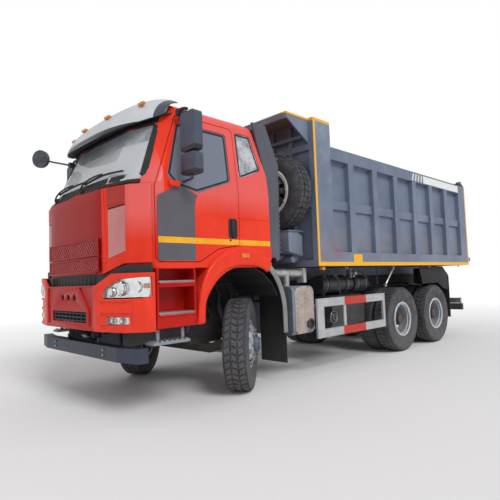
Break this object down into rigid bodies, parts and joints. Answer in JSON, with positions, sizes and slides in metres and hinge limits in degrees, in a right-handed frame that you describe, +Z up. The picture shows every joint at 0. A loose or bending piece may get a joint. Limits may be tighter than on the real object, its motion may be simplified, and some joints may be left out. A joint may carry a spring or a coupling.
{
  "type": "dump truck",
  "caption": "Heavy dump truck with a tilting cab, opening doors, steered front wheels and a ribbed load body that a telescopic hoist tips back, with a swinging tailgate.",
  "frame": {"origin": "middle of the footprint, on the road", "axes": "+X to the truck's left, +Y to the rear, +Z up; the nose points to -Y"},
  "size_m": [3.1, 8.6, 3.615],
  "materials": {
    "cab_paint": "gloss",
    "bed_paint": "satin",
    "frame_paint": "satin",
    "grey_paint": "satin",
    "silver_paint": "satin",
    "wheel_paint": "satin",
    "steel": "satin",
    "cast_metal": "matt",
    "tyre": "matt",
    "dark_plastic": "matt",
    "glass": "clear",
    "lamp_cover": "clear",
    "fabric": "woven"
  },
  "bodies": {
    "chassis": {"chassis_frame": "frame_paint", "engine": "cast_metal", "front_axle": "cast_metal", "leaf_springs": "cast_metal", "drive_axles": "cast_metal", "front_bumper": "cab_paint", "bumper_lamps": "lamp_cover", "underrun_bar": "frame_paint", "mudguards": "dark_plastic", "exhaust": "silver_paint", "air_and_oil_tanks": "frame_paint", "fuel_tank": "silver_paint", "battery_box": "dark_plastic", "intake_filter": "dark_plastic", "side_guards": "silver_paint", "tail_bar": "frame_paint", "spare_carrier": "frame_paint", "spare_tyre": "tyre", "spare_rim": "wheel_paint"},
    "cab": {"cab_shell": "cab_paint", "cab_glass": "glass", "front_mirror": "dark_plastic", "sun_visor": "silver_paint", "side_fairings": "grey_paint", "wheel_arches": "cab_paint", "cab_steps": "cab_paint", "dashboard": "dark_plastic", "seats": "fabric"},
    "front_flap": {"front_flap": "cab_paint"},
    "door_left": {"door_left": "cab_paint", "door_glass_left": "glass", "mirror_left": "dark_plastic"},
    "door_right": {"door_right": "cab_paint", "door_glass_right": "glass", "mirror_right": "dark_plastic"},
    "bed": {"bed_side_left": "bed_paint", "bed_side_right": "bed_paint", "bed_floor": "bed_paint", "bed_front_wall": "bed_paint"},
    "tailgate": {"tailgate": "bed_paint"},
    "hoist_cover": {"hoist_cover": "frame_paint"},
    "knuckle_left": {"knuckle_left": "cast_metal"},
    "knuckle_right": {"knuckle_right": "cast_metal"},
    "tie_rod": {"tie_rod": "steel"},
    "wheel_front_left": {"tyre_front_left": "tyre", "rim_front_left": "wheel_paint"},
    "wheel_front_right": {"tyre_front_right": "tyre", "rim_front_right": "wheel_paint"},
    "wheel_mid_left": {"tyre_mid_left": "tyre", "rim_mid_left": "wheel_paint"},
    "wheel_mid_right": {"tyre_mid_right": "tyre", "rim_mid_right": "wheel_paint"},
    "wheel_rear_left": {"tyre_rear_left": "tyre", "rim_rear_left": "wheel_paint"},
    "wheel_rear_right": {"tyre_rear_right": "tyre", "rim_rear_right": "wheel_paint"},
    "hoist_stage_1": {"hoist_stage_1": "steel"},
    "hoist_stage_2": {"hoist_stage_2": "steel"},
    "hoist_stage_3": {"hoist_stage_3": "steel"},
    "hoist_stage_4": {"hoist_stage_4": "steel"}
  },
  "joints": [
    {"name": "steer_left", "type": "hinge", "parent": "chassis", "child": "knuckle_left", "pos_m": [0.83, -2.7, 0.555], "axis": [0, 0, 1], "range_deg": [-78, 2]},
    {"name": "steer_right", "type": "hinge", "parent": "chassis", "child": "knuckle_right", "pos_m": [-0.83, -2.7, 0.555], "axis": [0, 0, 1], "range_deg": [-78, 2]},
    {"name": "tie_rod_end", "type": "hinge", "parent": "knuckle_left", "child": "tie_rod", "pos_m": [0.70071, -2.53452, 0.424], "axis": [0, 0, 1], "range_deg": [-2, 78]},
    {"name": "spin_front_left", "type": "hinge", "parent": "knuckle_left", "child": "wheel_front_left", "pos_m": [0.97972, -2.58302, 0.555], "axis": [0.788, 0.6157, 0], "continuous": true},
    {"name": "spin_front_right", "type": "hinge", "parent": "knuckle_right", "child": "wheel_front_right", "pos_m": [-0.97972, -2.81698, 0.555], "axis": [0.788, 0.6157, 0], "continuous": true},
    {"name": "spin_mid_left", "type": "hinge", "parent": "chassis", "child": "wheel_mid_left", "pos_m": [0.9175, 1.1, 0.555], "axis": [1, 0, 0], "continuous": true},
    {"name": "spin_mid_right", "type": "hinge", "parent": "chassis", "child": "wheel_mid_right", "pos_m": [-0.9175, 1.1, 0.555], "axis": [1, 0, 0], "continuous": true},
    {"name": "spin_rear_left", "type": "hinge", "parent": "chassis", "child": "wheel_rear_left", "pos_m": [0.9175, 2.45, 0.555], "axis": [1, 0, 0], "continuous": true},
    {"name": "spin_rear_right", "type": "hinge", "parent": "chassis", "child": "wheel_rear_right", "pos_m": [-0.9175, 2.45, 0.555], "axis": [1, 0, 0], "continuous": true},
    {"name": "cab_tilt", "type": "hinge", "parent": "chassis", "child": "cab", "pos_m": [0.35, -4.14, 1.39], "axis": [1, 0, 0], "range_deg": [0, 45]},
    {"name": "door_left_swing", "type": "hinge", "parent": "cab", "child": "door_left", "pos_m": [1.212, -3.896, 1.55], "axis": [0, 0, -1], "range_deg": [0, 65]},
    {"name": "door_right_swing", "type": "hinge", "parent": "cab", "child": "door_right", "pos_m": [-1.212, -3.896, 1.55], "axis": [0, 0, 1], "range_deg": [0, 65]},
    {"name": "front_flap_lift", "type": "hinge", "parent": "cab", "child": "front_flap", "pos_m": [0.48, -4.199, 2.345], "axis": [-1, 0, 0], "range_deg": [0, 75]},
    {"name": "bed_tip", "type": "hinge", "parent": "chassis", "child": "bed", "pos_m": [0.35, 3.65, 1.245], "axis": [-1, 0, 0], "range_deg": [0, 45]},
    {"name": "tailgate_swing", "type": "hinge", "parent": "bed", "child": "tailgate", "pos_m": [1.13, 4.15, 3.335], "axis": [1, 0, 0], "range_deg": [0, 75]},
    {"name": "hoist_swing", "type": "hinge", "parent": "bed", "child": "hoist_cover", "pos_m": [0.143, -1.43, 1.42], "axis": [1, 0, 0], "range_deg": [0, 23.55]},
    {"name": "hoist_slide_1", "type": "slide", "parent": "hoist_cover", "child": "hoist_stage_1", "axis": [0, 0, -1], "range_m": [0, 0.9652]},
    {"name": "hoist_slide_2", "type": "slide", "parent": "hoist_stage_1", "child": "hoist_stage_2", "axis": [0, 0, -1], "range_m": [0, 0.9652]},
    {"name": "hoist_slide_3", "type": "slide", "parent": "hoist_stage_2", "child": "hoist_stage_3", "axis": [0, 0, -1], "range_m": [0, 0.9652]},
    {"name": "hoist_slide_4", "type": "slide", "parent": "hoist_stage_3", "child": "hoist_stage_4", "axis": [0, 0, -1], "range_m": [0, 0.9652]}
  ],
  "couplings": [
    {"joint": "steer_right", "follows": "steer_left", "ratio": 1},
    {"joint": "tie_rod_end", "follows": "steer_left", "ratio": -1},
    {"joint": "hoist_swing", "follows": "bed_tip", "ratio": 0.51896},
    {"joint": "hoist_slide_1", "follows": "bed_tip", "m_per_rad": 1.2252},
    {"joint": "hoist_slide_2", "follows": "bed_tip", "m_per_rad": 1.2252},
    {"joint": "hoist_slide_3", "follows": "bed_tip", "m_per_rad": 1.2252},
    {"joint": "hoist_slide_4", "follows": "bed_tip", "m_per_rad": 1.2252}
  ]
}
